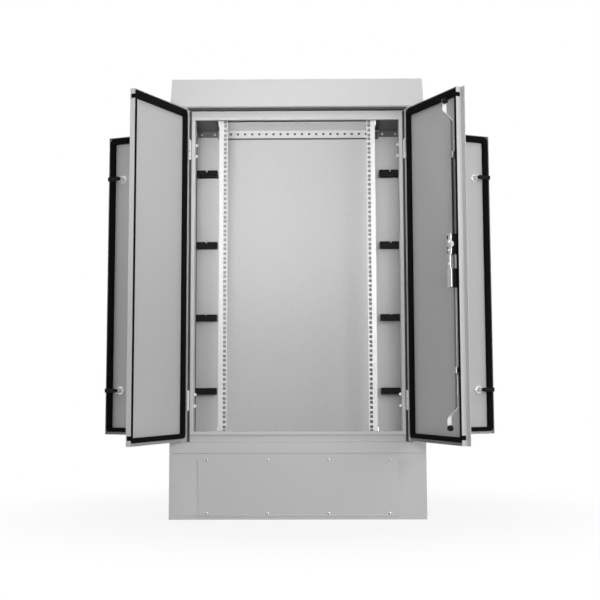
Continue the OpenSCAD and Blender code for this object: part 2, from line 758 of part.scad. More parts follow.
module overlap_strip() color("gainsboro") at_front_right(front_open)
    translate([0, 0, door_z0]) linear_extrude(door_z1 - door_z0) polygon([
        [front_leaf_end - strip_seat, skin_y0], [front_leaf_end, skin_y0],
        [front_leaf_end, skin_y0 - strip_air], [front_leaf_end + overlap_w, skin_y0 - strip_air],
        [front_leaf_end + overlap_w, skin_y0 - strip_t], [front_leaf_end - strip_seat, skin_y0 - strip_t]]);

// Rod lock
module at_lock() {
    at_front_right(front_open) translate([lock_u, 0, lock_z]) children();
}
// Slot that a flat rod slides in
module rod_slot(low, high) {
    half = rod_w / 2 + rod_air;
    block([-half, rod_y - rod_t / 2 - rod_air, low], [half, rod_y + rod_t / 2 + rod_air, high]);
}
module lock_gearbox() color("black") at_lock() difference() {
    block([-gearbox_w / 2, skin_y1, -gearbox_h / 2], [gearbox_w / 2, gearbox_y, gearbox_h / 2]);
    rod_slot(-gearbox_h, gearbox_h);
    bar_y(drive_d + 2 * spindle_air, drive_y0 - spindle_air, drive_y1 + spindle_air);
    bar_y(spindle_d + 2 * spindle_air, skin_y1 - tiny, drive_y1);
}
// Bright plate over the gearbox and the bracket, joined by a tongue
module gearbox_plate() color("silver") at_lock() {
    bracket_low = -bracket_drop - bracket_h / 2;
    plate_block(gearbox_w, -gearbox_h / 2, gearbox_h / 2);
    plate_block(tongue_w, bracket_low + bracket_h - tiny, tiny - gearbox_h / 2);
    plate_block(gearbox_w, bracket_low, bracket_low + bracket_h);
    translate([0, 0, gearbox_boss_z]) bar_y(gearbox_boss_d, gearbox_top, gearbox_top + gearbox_boss_h);
    for (z = [gearbox_screw_z, tongue_screw_z])
        translate([0, 0, z]) bar_y(small_head_d, gearbox_top, gearbox_top + small_head_h);
}
module plate_block(w, low, high) {
    block([-w / 2, gearbox_y, low], [w / 2, gearbox_top, high]);
}
module handle_bracket() color("dimgray") at_lock() difference() {
    block([-gearbox_w / 2, skin_y1, -bracket_drop - bracket_h / 2],
          [gearbox_w / 2, gearbox_y, -bracket_drop + bracket_h / 2]);
    rod_slot(-bracket_drop - bracket_h, -bracket_drop + bracket_h);
}
module rod_guides() color("silver") at_lock() for (z = guide_zs) translate([0, 0, z - lock_z])
    difference() {
        half = rod_w / 2 + rod_air + guide_wall;
        block([-half, skin_y1, -guide_h / 2],
              [half, rod_y + rod_t / 2 + rod_air + guide_wall, guide_h / 2]);
        rod_slot(-guide_h, guide_h);
    }
// Flat rod along +Z, twisted a quarter turn and cranked inwards before its end
function ease(t) = t * t * (3 - 2 * t);
function rod_ring(w, t, y, z, turn) = [for (c = [[-1, -1], [1, -1], [1, 1], [-1, 1]])
    [(c[0] * w * cos(turn) - c[1] * t * sin(turn)) / 2,
     y + (c[0] * w * sin(turn) + c[1] * t * cos(turn)) / 2, z]];
module flat_rod(start, tip) {
    bend = tip - rod_tip - end_l - twist_l;
    rings = concat([rod_ring(rod_w, rod_t, rod_y, start, 0)],
        [for (i = [0 : twist_steps]) let (e = ease(i / twist_steps))
            rod_ring(rod_w, rod_t, rod_y + (end_y - rod_y) * e, bend + twist_l * i / twist_steps, 90 * e)],
        [rod_ring(rod_w, rod_t, end_y, tip, 90)]);
    last = len(rings) - 1;
    polyhedron([for (r = rings) each r], concat([[0, 1, 2, 3]],
        [for (k = [0 : last - 1], i = [0 : 3]) let (j = (i + 1) % 4)
            each [[4 * k + i, 4 * k + 4 + i, 4 * k + j], [4 * k + j, 4 * k + 4 + i, 4 * k + 4 + j]]],
        [[4 * last + 3, 4 * last + 2, 4 * last + 1, 4 * last]]));
    translate([rod_t / 2, end_y, tip - rod_tip]) rotate([0, 90, 0]) {
        cylinder(d = axle_d, h = roller_w + 2 * roller_air);
        translate([0, 0, roller_w + 2 * roller_air]) cylinder(d = axle_head_d, h = axle_head_h);
    }
}
module rod_roller(tip) translate([rod_t / 2 + roller_air, end_y, tip - rod_tip]) rotate([0, 90, 0])
    difference() {
        cylinder(d = roller_d, h = roller_w);
        translate([0, 0, -tiny]) cylinder(d = axle_d + 2 * running_fit, h = roller_w + 2 * tiny);
    }
module upper_rod() color("lightgray") at_lock() flat_rod(rod_gap, upper_tip);
module lower_rod() color("lightgray") at_lock() mirror([0, 0, 1]) flat_rod(rod_gap, lower_tip);
module upper_roller() color("black") at_lock() rod_roller(upper_tip);
module lower_roller() color("black") at_lock() mirror([0, 0, 1]) rod_roller(lower_tip);

// Swing handle on the outside, turned level while the rods are drawn in
module handle_escutcheon() color("dimgray") at_lock() difference() {
    upright(plate_y, skin_y0)
        round_rect([-escutcheon_w / 2, -handle_l - escutcheon_end],
                   [escutcheon_w / 2, escutcheon_w / 2 + escutcheon_end], escutcheon_r);
    bar_y(spindle_d + 2 * running_fit, plate_y - tiny, skin_y0 + tiny);
}
// Pin that the lever lifts on, crosswise to the lever
module lift_bar(d, l) translate([-l / 2, lift_y, 0]) rotate([0, 90, 0]) cylinder(d = d, h = l);
module handle_spindle() color("silver") at_lock() rotate([0, 90, 0]) {
    slot = lug_w / 2 + handle_air;
    bar_y(spindle_d, handle_y, drive_y0);
    bar_y(drive_d, drive_y0, drive_y1);
    difference() {
        bar_y(head_d, handle_y - handle_t, handle_y);
        block([-slot, handle_y - handle_t - tiny, -head_d], [slot, handle_y - head_floor, head_d]);
    }
    lift_bar(lift_d, lift_l);
}
module handle_lever() color("dimgray") at_lock() rotate([0, 90, 0]) difference() {
    union() {
        lift_bar(lug_d, lug_w);
        block([-lug_w / 2, lift_y - lug_d / 2, -handle_root], [lug_w / 2, lift_y + lug_d / 2, 0]);
        upright(handle_y - handle_t, handle_y)
            round_rect([-handle_w / 2, -handle_l], [handle_w / 2, -handle_root], handle_r);
    }
    lift_bar(lift_d + 2 * running_fit, lug_w + 2 * tiny);
}

// Side doors and their quarter-turn locks
module lock_holes() for (z = cam_zs) translate([cam_u, 0, z])
    bar_y(housing_d + tiny, skin_y0 - tiny, skin_y1 + tiny);
module lock_housing() for (z = cam_zs) translate([cam_u, 0, z]) difference() {
    union() {
        bar_y(housing_flange_d, skin_y0 - housing_flange_t, skin_y0);
        bar_y(housing_d, skin_y0, housing_end);
        hex_y(lock_nut_af, skin_y1, skin_y1 + lock_nut_h);
    }
    bar_y(cam_spindle_d + 2 * running_fit, skin_y0 - housing_flange_t - tiny, housing_end + tiny);
}
module cam(z) translate([cam_u, 0, z]) {
    bar_y(cam_spindle_d, skin_y0 - housing_flange_t, cam_y);
    upright(cam_y, cam_y + cam_t) {
        circle(d = cam_w);
        translate([0, -cam_w / 2]) square([cam_l, cam_w]);
    }
    hex_y(cam_nut_af, cam_y + cam_t, cam_y + cam_t + nut_h);
}
module side_leaf() difference() {
    door_pan(side_leaf_end);
    lock_holes();
}
module left_side_door() color("gainsboro") at_side_left(side_open) side_leaf();
module right_side_door() color("gainsboro") at_side_right(side_open) side_leaf();
module left_side_gasket() color("black") at_side_left(side_open) door_gasket(side_leaf_end, gasket_side_w);
module right_side_gasket() color("black") at_side_right(side_open) door_gasket(side_leaf_end, gasket_side_w);
module left_side_hinge_leaves() color("silver") at_side_left(side_open) hinge_door_leaf();
module right_side_hinge_leaves() color("silver") at_side_right(side_open) hinge_door_leaf();
module left_side_lock_housings() color("silver") at_side_left(side_open) lock_housing();
module right_side_lock_housings() color("silver") at_side_right(side_open) lock_housing();
module left_lower_cam() color("black") at_side_left(side_open) cam(cam_zs[0]);
module left_upper_cam() color("black") at_side_left(side_open) cam(cam_zs[1]);
module right_lower_cam() color("black") at_side_right(side_open) cam(cam_zs[0]);
module right_upper_cam() color("black") at_side_right(side_open) cam(cam_zs[1]);

plinth_frame();
plinth_cover();
plinth_cover_screws();
body_bolts();
base_plate();
cable_entry_plate();
front_frame();
left_side_frame();
left_side_rim();
right_side_frame();
right_side_rim();
rear_wall();
top_plate();
roof_cap();
roof_screws();
left_rail();
right_rail();
rail_feet();
rear_bar();
corner_angles();
corner_angle_screws();
left_cable_rings();
right_cable_rings();
hinge_frame_leaves();
hinge_pins();
hinge_nuts();
left_door();
left_door_gasket();
left_door_seal_blocks();
left_door_hinge_leaves();
right_door();
right_door_gasket();
right_door_seal_blocks();
right_door_hinge_leaves();
overlap_strip();
handle_escutcheon();
lock_gearbox();
gearbox_plate();
handle_bracket();
rod_guides();
upper_rod();
lower_rod();
upper_roller();
lower_roller();
handle_spindle();
handle_lever();
left_side_door();
left_side_gasket();
left_side_hinge_leaves();
left_side_lock_housings();
right_side_door();
right_side_gasket();
right_side_hinge_leaves();
right_side_lock_housings();
left_upper_cam();
left_lower_cam();
right_upper_cam();
right_lower_cam();
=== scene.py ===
# %% [markdown]
# # A roadside utility cabinet, dressed for its portrait
#
# The shape of this cabinet already exists: sheet-steel body, plinth, doors, hinges, locks and rails come in
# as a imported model, one object per piece. What is left for Blender is what the eye reads as real: paint,
# zinc, foam and moulded plastic, rounded folds, screw heads, and a photographer's light. This file goes
# through that work in small steps. Lengths are metres, +Z is up and the front of the cabinet faces -Y.

# %% Load the cabinet
import json
import math

import bmesh
import bpy
from mathutils import Euler, Matrix, Vector


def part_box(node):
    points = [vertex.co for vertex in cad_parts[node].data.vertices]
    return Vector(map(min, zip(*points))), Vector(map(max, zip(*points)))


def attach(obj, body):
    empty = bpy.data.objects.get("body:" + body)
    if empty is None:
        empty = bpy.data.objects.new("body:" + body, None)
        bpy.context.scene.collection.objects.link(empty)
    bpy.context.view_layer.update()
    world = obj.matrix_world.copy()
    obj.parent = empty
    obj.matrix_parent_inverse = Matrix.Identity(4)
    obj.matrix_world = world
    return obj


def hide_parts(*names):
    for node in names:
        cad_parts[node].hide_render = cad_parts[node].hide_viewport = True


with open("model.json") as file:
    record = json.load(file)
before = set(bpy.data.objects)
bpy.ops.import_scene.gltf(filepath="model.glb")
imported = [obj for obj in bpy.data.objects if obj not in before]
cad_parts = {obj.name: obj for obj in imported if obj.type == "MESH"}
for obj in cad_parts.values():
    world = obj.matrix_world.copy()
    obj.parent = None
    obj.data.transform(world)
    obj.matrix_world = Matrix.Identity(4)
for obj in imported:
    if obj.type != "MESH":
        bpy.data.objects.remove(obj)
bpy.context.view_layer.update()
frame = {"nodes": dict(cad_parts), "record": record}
nodes = frame["nodes"]

# %% [markdown]
# ## The camera
#
# The portrait was taken with a long lens from a little below the middle of the cabinet, tilted up slightly,
# with the picture shifted so that the uprights stay nearly upright. Those numbers came from a fit of a
# pinhole camera to the rail holes and corners. A camera could also be moved by eye until the picture looks
# right, but a fit is quicker and repeats exactly. The shift is in picture widths.

# %% Camera
PICTURE_PX = 600
FOCAL_PX = 1285.9
AXIS_ROW_PX = 218.4
STAND = (0.0541, -4.2586, 0.4406)
TILT_UP = math.radians(6.988)
PAN = math.radians(0.634)
ROLL = math.radians(-0.158)
lens = bpy.data.cameras.new("portrait_lens")
lens.sensor_width = 36.0
lens.lens = FOCAL_PX / PICTURE_PX * lens.sensor_width
lens.shift_y = (AXIS_ROW_PX - PICTURE_PX / 2) / PICTURE_PX
lens.clip_end = 60.0
camera = bpy.data.objects.new("portrait_camera", lens)
bpy.context.scene.collection.objects.link(camera)
aim = Euler((math.pi / 2 + TILT_UP, 0.0, PAN)).to_matrix().to_4x4()
camera.matrix_world = Matrix.Translation(STAND) @ aim @ Matrix.Rotation(ROLL, 4, "Z")
bpy.context.scene.camera = camera
print("lens %.1f mm, shift %.3f" % (lens.lens, lens.shift_y))

# %% [markdown]
# ## Floor, background and light
#
# A catalogue picture stands on nothing but white. A floor plane is still needed, because the cabinet has to
# stand on something and throw a shadow. To the camera and to mirror-like surfaces the floor shines plain
# white, fading to a trace of shadow close to the plinth; to every other ray it is a matt floor. The same
# trick with the Light Path node gives the background: white to look at, a softer grey as a source of light.

# %% Small helpers for shader nodes
def add_node(tree, kind, place=(0, 0), **sockets):
    made = tree.nodes.new(kind)
    made.location = place
    for label, value in sockets.items():
        made.inputs[label.replace("_", " ")].default_value = value
    return made


def add_math(tree, operation, first, second, place=(0, 0), third=None):
    made = add_node(tree, "ShaderNodeMath", place)
    made.operation = operation
    for socket, value in zip(made.inputs, (first, second, third)):
        if hasattr(value, "is_linked"):
            tree.links.new(value, socket)
        elif value is not None:
            socket.default_value = value
    return made.outputs[0]


def seen_directly(tree):
    path = add_node(tree, "ShaderNodeLightPath", (-600, 300))
    mirror = add_math(tree, "MAXIMUM", path.outputs["Is Glossy Ray"], path.outputs["Is Transmission Ray"])
    return add_math(tree, "MAXIMUM", path.outputs["Is Camera Ray"], mirror, (-200, 300))


def by_ray(tree, share, indirect, direct, out):
    mix = add_node(tree, "ShaderNodeMixShader", (400, 0))
    for source, socket in zip((share, indirect.outputs[0], direct.outputs[0]), mix.inputs):
        tree.links.new(source, socket)
    tree.links.new(mix.outputs[0], out.inputs[0])


print("shader helpers ready")

# %% Floor
FLOOR_HALF = 14.0
FLOOR_DROP = 0.001
SHADOW_NEAR, SHADOW_FAR = 0.4, 1.3
WHITE_NEAR = 0.9
WHITE = (1, 1, 1, 1)


def floor_finish():
    made = bpy.data.materials.new("studio_floor")
    made.use_nodes = True
    tree = made.node_tree
    tree.nodes.clear()
    out = add_node(tree, "ShaderNodeOutputMaterial", (600, 0))
    matt = add_node(tree, "ShaderNodeBsdfDiffuse", (200, 0), Color=(0.35, 0.35, 0.35, 1))
    white = add_node(tree, "ShaderNodeEmission", (200, -150), Color=WHITE, Strength=1.0)
    where = add_node(tree, "ShaderNodeTexCoord", (-800, -100))
    away = add_node(tree, "ShaderNodeVectorMath", (-600, -100))
    away.operation = "LENGTH"
    tree.links.new(where.outputs["Object"], away.inputs[0])
    fade = add_node(tree, "ShaderNodeMapRange", (-400, -100), From_Min=SHADOW_NEAR, From_Max=SHADOW_FAR,
                    To_Min=WHITE_NEAR, To_Max=1.0)
    fade.interpolation_type = "SMOOTHSTEP"
    tree.links.new(away.outputs["Value"], fade.inputs["Value"])
    share = add_math(tree, "MULTIPLY", seen_directly(tree), fade.outputs["Result"], (200, 200))
    by_ray(tree, share, matt, white, out)
    return made


floor_mesh = bmesh.new()
bmesh.ops.create_grid(floor_mesh, x_segments=1, y_segments=1, size=FLOOR_HALF)
floor_data = bpy.data.meshes.new("studio_floor")
floor_mesh.to_mesh(floor_data)
floor_mesh.free()
floor = bpy.data.objects.new("studio_floor", floor_data)
bpy.context.scene.collection.objects.link(floor)
floor.location.z = -FLOOR_DROP
floor_data.materials.append(floor_finish())
print("floor:", FLOOR_HALF * 2, "m square")

# %% Background
SKY_POWER = 0.64
sky = bpy.data.worlds.new("studio_sky")
bpy.context.scene.world = sky
sky.use_nodes = True
sky_tree = sky.node_tree
sky_tree.nodes.clear()
sky_out = add_node(sky_tree, "ShaderNodeOutputWorld", (600, 0))
sky_glow = add_node(sky_tree, "ShaderNodeBackground", (200, 0), Color=WHITE, Strength=SKY_POWER)
sky_white = add_node(sky_tree, "ShaderNodeBackground", (200, -150), Color=WHITE, Strength=1.0)
by_ray(sky_tree, seen_directly(sky_tree), sky_glow, sky_white, sky_out)
print("background ready")

# %% [markdown]
# ### The lights
#
# Reading the picture: faces that look to the right are brighter than their twins that look to the left, so
# the key light is a large softbox well to the right. The rear wall is bright although the doors shade it,
# and brightest under the ceiling. So a flat beam comes in from beside the camera, and a narrow one from low
# down climbs under the head of the frame. One strong lamp could light it all, but would cut hard shadows.
# To set the powers, each light was rendered alone: light adds up, so the best mix is a small sum.

# %% Studio lights
def softbox(name, place, target, size, power):
    panel = bpy.data.lights.new(name, "AREA")
    panel.shape = "RECTANGLE"
    panel.size, panel.size_y = size
    panel.energy = power
    holder = bpy.data.objects.new(name, panel)
    bpy.context.scene.collection.objects.link(holder)
    holder.location = place
    holder.rotation_euler = (Vector(target) - Vector(place)).to_track_quat("-Z", "Y").to_euler()
    holder.visible_camera = False
    return holder


softbox("key_softbox", place=(2.3, -3.2, 1.3), target=(0.0, 0.0, 0.8), size=(2.2, 1.4), power=43)
front_beam = softbox("front_beam", place=(0.9, -4.2, 0.9), target=(0.0, 0.0, 0.9),
                     size=(0.9, 0.6), power=5.4)
front_beam.data.spread = math.radians(70)
upper_beam = softbox("upper_beam", place=(-0.1, -4.2, 0.3), target=(-0.1, 0.19, 1.27),
                     size=(0.4, 0.3), power=0.85)
upper_beam.data.spread = math.radians(20)
view = bpy.context.scene.view_settings
view.view_transform = "Standard"

# %% [markdown]
# ## Finishes
#
# Each finish is built from procedural textures in Object coordinates, so it keeps its size in metres on
# every piece and needs no image files. Effects that several finishes share are node groups with their own
# inputs. First a helper that makes a group with named sockets.

# %% Helper for shader groups
COLOR, FLOAT = "NodeSocketColor", "NodeSocketFloat"
RESULTS = (("Color", COLOR), ("Roughness", FLOAT), ("Height", FLOAT))


def new_group(name, inputs):
    tree = bpy.data.node_groups.new(name, "ShaderNodeTree")
    for label, kind, value in inputs:
        tree.interface.new_socket(name=label, in_out="INPUT", socket_type=kind).default_value = value
    for label, kind in RESULTS:
        tree.interface.new_socket(name=label, in_out="OUTPUT", socket_type=kind)
    entry = add_node(tree, "NodeGroupInput", (-800, 0))
    leave = add_node(tree, "NodeGroupOutput", (800, 0))
    where = add_node(tree, "ShaderNodeTexCoord", (-800, -300))
    return tree, entry.outputs, leave, where


def texture(tree, kind, where, scale, place, detail=2.0):
    made = add_node(tree, kind, place, Scale=scale, Detail=detail)
    tree.links.new(where.outputs["Object"], made.inputs["Vector"])
    return made


def spread(tree, source, low, high, place):
    made = add_node(tree, "ShaderNodeMapRange", place, To_Min=low, To_Max=high)
    tree.links.new(source, made.inputs["Value"])
    return made.outputs["Result"]


def scaled(tree, color, factor, place):
    made = add_node(tree, "ShaderNodeVectorMath", place)
    made.operation = "SCALE"
    tree.links.new(color, made.inputs[0])
    tree.links.new(factor, made.inputs["Scale"])
    return made.outputs[0]


def send(tree, leave, color, roughness, height):
    for socket, source in zip(leave.inputs, (color, roughness, height)):
        tree.links.new(source, socket)


print("group helpers ready")

# %% [markdown]
# ### Powder coat
#
# The body is sheet steel with a light grey powder coat. Baked powder is never quite flat: it has a fine
# "orange peel" that softens highlights, and its tone drifts slightly over a large panel. Fine noise drives
# the height, broad noise the tone, and a middle size the roughness and a faint grain.

# %% Powder coat group
PEEL_SCALE, CLOUD_SCALE, SPECK_SCALE = 420.0, 2.2, 160.0
coat, coat_in, coat_out, coat_at = new_group(
    "powder_coat",
    [("Color", COLOR, (0.6, 0.6, 0.6, 1)), ("Drift", FLOAT, 0.05), ("Roughness", FLOAT, 0.45)])
peel = texture(coat, "ShaderNodeTexNoise", coat_at, PEEL_SCALE, (-500, -300), 3.0)
cloud = texture(coat, "ShaderNodeTexNoise", coat_at, CLOUD_SCALE, (-500, 0), 4.0)
speck = texture(coat, "ShaderNodeTexNoise", coat_at, SPECK_SCALE, (-500, -600), 2.0)
drift = add_math(coat, "SUBTRACT", cloud.outputs["Fac"], 0.5, (-300, 0))
tone = add_math(coat, "MULTIPLY_ADD", drift, coat_in["Drift"], (-100, 0), 1.0)
grain = spread(coat, speck.outputs["Fac"], 0.965, 1.035, (-300, -600))
both = add_math(coat, "MULTIPLY", tone, grain, (100, -100))
tint = scaled(coat, coat_in["Color"], both, (300, 100))
sheen = spread(coat, speck.outputs["Fac"], -0.06, 0.06, (100, -500))
rough = add_math(coat, "ADD", coat_in["Roughness"], sheen, (300, -400))
send(coat, coat_out, tint, rough, peel.outputs["Fac"])
print("group:", coat.name)

# %% [markdown]
# ### Zinc plate
#
# Rails, hinges, rods and screws are zinc plated. The plate is bright, broken into faint crystal patches,
# and a little streaked along its length. Cells of a Voronoi texture give the patches, noise the streaks.

# %% Zinc group
CELL_SCALE, STREAK_SCALE = 180.0, 60.0
zinc, zinc_in, zinc_out, zinc_at = new_group(
    "zinc_plate",
    [("Color", COLOR, (0.8, 0.8, 0.8, 1)), ("Patches", FLOAT, 0.08), ("Roughness", FLOAT, 0.3)])
cells = texture(zinc, "ShaderNodeTexVoronoi", zinc_at, CELL_SCALE, (-500, 0))
streak = texture(zinc, "ShaderNodeTexNoise", zinc_at, STREAK_SCALE, (-500, -300), 5.0)
patch = spread(zinc, cells.outputs["Color"], -1.0, 1.0, (-300, 0))
amount = add_math(zinc, "MULTIPLY_ADD", patch, zinc_in["Patches"], (-100, 0), 1.0)
plated = scaled(zinc, zinc_in["Color"], amount, (200, 100))
dull = spread(zinc, streak.outputs["Fac"], -0.1, 0.1, (-300, -300))
zinc_rough = add_math(zinc, "ADD", zinc_in["Roughness"], dull, (200, -300))
send(zinc, zinc_out, plated, zinc_rough, streak.outputs["Fac"])
print("group:", zinc.name)

# %% [markdown]
# ### Foam and moulded plastic
#
# The gaskets are foamed-in-place rubber: black, matt, full of tiny closed cells. The cable rings, rollers
# and gearbox are moulded plastic with a fine spark-eroded grain. One group serves both: the cell size and
# how strongly the cells darken the colour are its inputs.

# %% Grain group
MOTTLE_SCALE = 45.0
pore, pore_in, pore_out, pore_at = new_group(
    "fine_pores",
    [("Color", COLOR, (0.02, 0.02, 0.02, 1)), ("Size", FLOAT, 900.0), ("Depth", FLOAT, 0.4),
     ("Roughness", FLOAT, 0.6)])
pits = add_node(pore, "ShaderNodeTexVoronoi", (-500, 0))
pore.links.new(pore_at.outputs["Object"], pits.inputs["Vector"])
pore.links.new(pore_in["Size"], pits.inputs["Scale"])
mottle = texture(pore, "ShaderNodeTexNoise", pore_at, MOTTLE_SCALE, (-500, -300), 4.0)
shade = spread(pore, pits.outputs["Distance"], -1.0, 0.6, (-300, 0))
pit_tone = add_math(pore, "MULTIPLY_ADD", shade, pore_in["Depth"], (-100, 0), 1.0)
dusty = spread(pore, mottle.outputs["Fac"], 0.7, 1.4, (-100, -300))
pit_mix = add_math(pore, "MULTIPLY", pit_tone, dusty, (100, -100))
pit_color = scaled(pore, pore_in["Color"], pit_mix, (300, 100))
pit_sheen = spread(pore, mottle.outputs["Fac"], -0.1, 0.1, (100, -400))
pit_rough = add_math(pore, "ADD", pore_in["Roughness"], pit_sheen, (300, -400))
send(pore, pore_out, pit_color, pit_rough, pits.outputs["Distance"])
print("group:", pore.name)

# %% [markdown]
# ### The finishes themselves
#
# Every finish is one Principled shader fed by one of the groups. The group hands over colour, roughness and
# a height; a Bump node in the finish turns the height into a normal. Only the values differ.

# %% Finishes
def finish(name, group, metallic, gloss, bump, **values):
    made = bpy.data.materials.new(name)
    made.use_nodes = True
    tree = made.node_tree
    skin = tree.nodes["Principled BSDF"]
    skin.inputs["Metallic"].default_value = metallic
    skin.inputs["Specular IOR Level"].default_value = gloss
    effect = add_node(tree, "ShaderNodeGroup", (-500, 200))
    effect.node_tree = group
    for label, value in values.items():
        effect.inputs[label].default_value = value
    relief = add_node(tree, "ShaderNodeBump", (-250, -200), Strength=bump[0], Distance=bump[1])
    tree.links.new(effect.outputs["Color"], skin.inputs["Base Color"])
    tree.links.new(effect.outputs["Roughness"], skin.inputs["Roughness"])
    tree.links.new(effect.outputs["Height"], relief.inputs["Height"])
    tree.links.new(relief.outputs["Normal"], skin.inputs["Normal"])
    return made


def grey(value):
    return (value, value, value, 1.0)


EVEN, FINE, SOFT, ROUGH = (0.0, 0.0001), (0.1, 0.0002), (0.2, 0.0003), (0.5, 0.0004)
finishes = {
    "grey_paint": finish("grey_powder_coat", coat, 0.0, 0.4, (0.25, 0.0004),
                         Color=grey(0.55), Drift=0.05, Roughness=0.42),
    "inner_sheet": finish("inner_sheet", zinc, 0.1, 0.4, FINE, Color=grey(0.58), Patches=0.04, Roughness=0.5),
    "rail_zinc": finish("rail_zinc", zinc, 0.25, 0.5, FINE, Color=grey(0.62), Patches=0.05, Roughness=0.4),
    "bar_zinc": finish("bar_zinc", zinc, 0.2, 0.4, FINE, Color=grey(0.68), Patches=0.05, Roughness=0.5),
    "zinc": finish("bright_zinc", zinc, 0.6, 0.5, FINE, Color=grey(0.96), Patches=0.04, Roughness=0.3),
    # Brighter copy of the bar's zinc for the underside of its leg: painted light.
    "leg_zinc_painted_light": finish("leg_zinc_painted_light", zinc, 0.6, 0.5, EVEN, Color=grey(0.96), Patches=0.02, Roughness=0.4),
    "screw_steel": finish("screw_steel", zinc, 1.0, 0.5, FINE, Color=grey(0.6), Patches=0.06, Roughness=0.3),
    # Dark and light copies of one rod zinc: painted shade and painted light, given to faces by direction.
    "rod_zinc_painted_shade": finish("rod_zinc_painted_shade", zinc, 0.3, 0.4, FINE, Color=grey(0.2), Patches=0.08, Roughness=0.4),
    # Dark copy of the rail zinc for the rails' second lips: painted shade.
    "lip_painted_shade": finish("lip_painted_shade", zinc, 0.3, 0.4, FINE, Color=grey(0.3), Patches=0.08, Roughness=0.4),
    "rod_zinc_painted_light": finish("rod_zinc_painted_light", zinc, 0.3, 0.4, FINE, Color=grey(0.66), Patches=0.08, Roughness=0.4),
    # Near-black for the angles under the ceiling: painted shade.
    "angle_painted_shade": finish("angle_painted_shade", coat, 0.0, 0.3, SOFT, Color=grey(0.11), Drift=0.3, Roughness=0.45),
    "dark_steel": finish("dark_steel", coat, 0.0, 0.2, SOFT, Color=grey(0.04), Drift=0.3, Roughness=0.5),
    # Near-black rubber for the recess: painted shade.
    "painted_shade_rubber": finish("painted_shade_rubber", pore, 0.0, 0.1, ROUGH,
                          Color=grey(0.08), Size=1200.0, Depth=0.3, Roughness=0.8),
    "foam_rubber": finish("foam_rubber", pore, 0.0, 0.05, ROUGH,
                          Color=grey(0.006), Size=900.0, Depth=0.4, Roughness=0.9),
    "black_plastic": finish("black_plastic", pore, 0.0, 0.12, SOFT,
                            Color=grey(0.006), Size=1500.0, Depth=0.2, Roughness=0.5),
    "chrome": finish("bright_plate", zinc, 0.7, 0.5, FINE, Color=grey(0.8), Patches=0.03, Roughness=0.32),
    "black_steel": finish("black_steel", coat, 0.0, 0.12, SOFT, Color=grey(0.006), Drift=0.3, Roughness=0.45),
}
print("finishes:", len(finishes))

# %% [markdown]
# ## Which finish goes where
#
# The record that comes with the cabinet names a material slot for each piece and the body it moves with.
# Most pieces take the finish of their slot; some have one of their own, such as the rear wall, the rails
# and the bar, which are bright sheet.

# %% Paint every piece
record = frame["record"]
slot_of = {part["node"]: part["material_slot"] for part in record["subparts"]}
body_of = {node: body for body, group in record["behaviour"]["bodies"].items() for node in group}
own_finish = {"rear_wall": "inner_sheet", "rear_bar": "bar_zinc", "left_rail": "rail_zinc",
              "right_rail": "rail_zinc", "upper_rod": "rod_zinc_painted_shade", "lower_rod": "rod_zinc_painted_shade",
              "handle_bracket": "black_steel", "plinth_cover_screws": "screw_steel",
              "corner_angles": "angle_painted_shade", "rod_guides": "screw_steel"}
finish_of = {node: finishes[own_finish.get(node, slot_of[node])] for node in nodes}
for name, piece in nodes.items():
    piece.data.materials.clear()
    piece.data.materials.append(finish_of[name])
print("painted:", len(nodes))

# %% [markdown]
# ## Folds and edges
#
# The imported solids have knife-sharp edges. Real sheet metal is folded over a radius, punched edges are
# broken and plastic mouldings are rounded, and it is this narrow strip that catches the light. One could
# put a Bevel modifier on every piece; here a copy of each mesh is merged, its flat triangles are joined to
# whole faces, and its sharp edges are bevelled once with the bmesh operator, so that the copy can stand for
# the solid.

# %% Helpers for softened copies
MM = 0.001
SAME_POINT = 0.001 * MM
NO_LENGTH = 0.002 * MM
FLAT = math.radians(1)
SHARP = math.radians(30)
SMOOTH_BELOW = math.radians(20)
FACING = 0.5


def copy_of(node):
    shape = bmesh.new()
    shape.from_mesh(nodes[node].data)
    bmesh.ops.remove_doubles(shape, verts=shape.verts, dist=SAME_POINT)
    bmesh.ops.dissolve_limit(shape, angle_limit=FLAT, verts=shape.verts, edges=shape.edges)
    return shape


def sharp_edges(shape):
    return [e for e in shape.edges if len(e.link_faces) == 2 and e.calc_face_angle() > SHARP]


def round_all(shape, radius, steps=2):
    bmesh.ops.bevel(shape, geom=sharp_edges(shape), offset=radius, offset_type="OFFSET", segments=steps,
                    profile=0.5, affect="EDGES", clamp_overlap=True, material=-1)
    bmesh.ops.dissolve_degenerate(shape, dist=NO_LENGTH, edges=shape.edges)


def new_piece(shape, name, look, body):
    mesh = bpy.data.meshes.new(name)
    shape.to_mesh(mesh)
    shape.free()
    mesh.shade_smooth()
    mesh.set_sharp_from_angle(angle=SMOOTH_BELOW)
    mesh.materials.append(look)
    piece = bpy.data.objects.new(name, mesh)
    bpy.context.scene.collection.objects.link(piece)
    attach(piece, body)
    return piece


def hand_over(shape, name, node):
    piece = new_piece(shape, name, finish_of[node], body_of[node])
    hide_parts(node)
    return piece


def soften(node, radius, steps=2):
    shape = copy_of(node)
    round_all(shape, radius * MM, steps)
    return hand_over(shape, node + "_rounded", node)


print("edges over %.0f degrees are rounded" % math.degrees(SHARP))

# %% [markdown]
# A few pieces are not copies: they are made here from simple shapes. A block is a cube drawn out to size, a
# profile is an outline that is extruded, and a cut goes through a mesh along a plane. Three helpers keep
# the cells below short.

# %% Helpers for blocks, sections and cuts
def block(shape, size, middle):
    verts = bmesh.ops.create_cube(shape, size=1.0)["verts"]
    bmesh.ops.scale(shape, vec=size, verts=verts)
    bmesh.ops.translate(shape, vec=middle, verts=verts)


